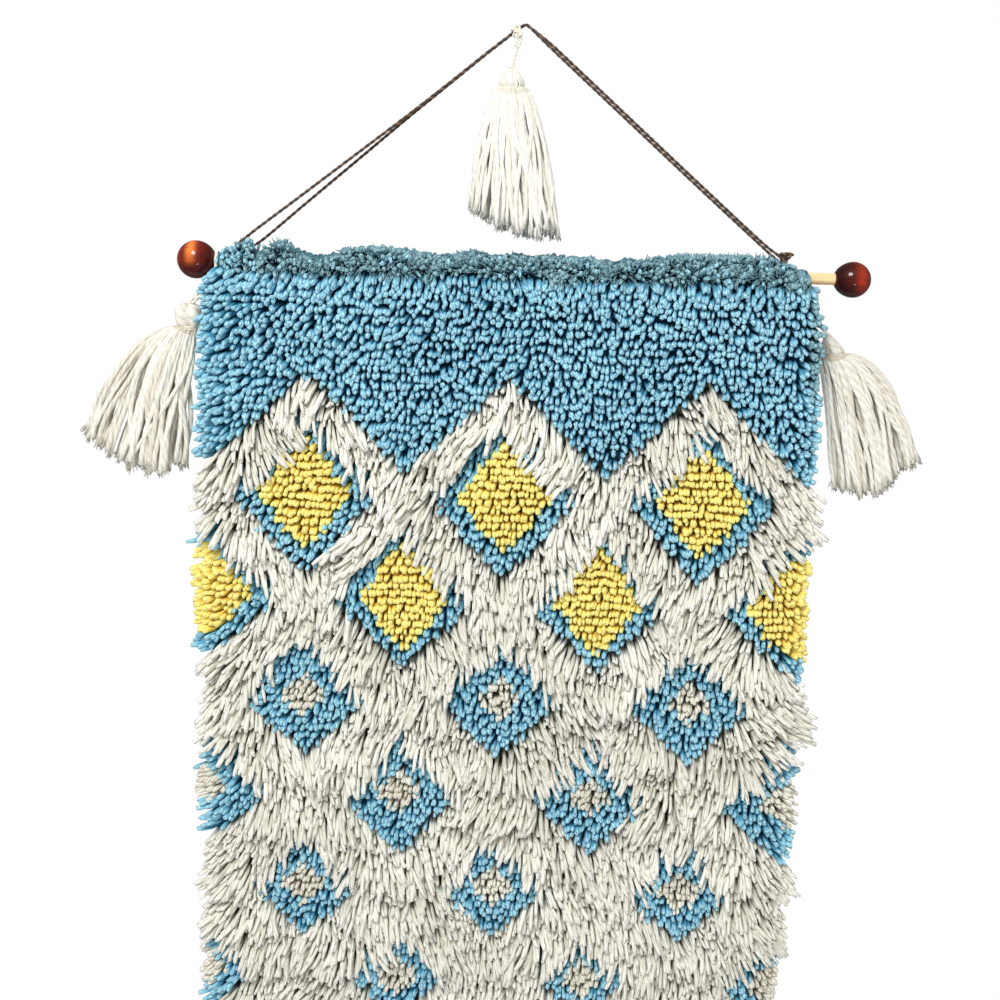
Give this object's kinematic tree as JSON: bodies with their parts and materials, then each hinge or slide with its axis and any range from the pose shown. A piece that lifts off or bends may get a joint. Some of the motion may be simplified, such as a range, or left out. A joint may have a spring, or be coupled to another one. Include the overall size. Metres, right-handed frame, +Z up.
{
  "type": "latch hook wall hanging on a dowel",
  "caption": "Wall hanging of latch hook rug pile on canvas, folded over a wooden dowel with ball ends, with a cord to hang it by and yarn tassels.",
  "frame": {"origin": "the hanging point: the top of the hook that the cord's apex lies on", "axes": "+Z up, +X along the dowel to the viewer's right, the pile faces -Y and the wall is on the +Y side"},
  "size_m": [0.7053, 0.0563, 0.9014],
  "materials": {
    "pile": "cut rug yarn, blue ground",
    "pile_cream": "long cream rug yarn shag",
    "pile_yellow": "cut rug yarn, yellow",
    "canvas": "stiff cotton rug canvas",
    "dowel_wood": "plain sanded wood",
    "stained_wood": "red-brown stain under gloss varnish",
    "cord": "brown and gold twisted cord",
    "tassel_yarn": "off-white wool yarn"
  },
  "bodies": {
    "root": {"cloth": "pile", "dowel": "dowel_wood", "ball_left": "stained_wood", "ball_right": "stained_wood", "hanger_cord": "cord", "cord_knot": "cord", "tassel_left": "tassel_yarn", "tassel_right": "tassel_yarn", "tassel_centre": "tassel_yarn", "tie_left": "tassel_yarn", "tie_right": "tassel_yarn", "tie_centre": "tassel_yarn"}
  },
  "joints": []
}
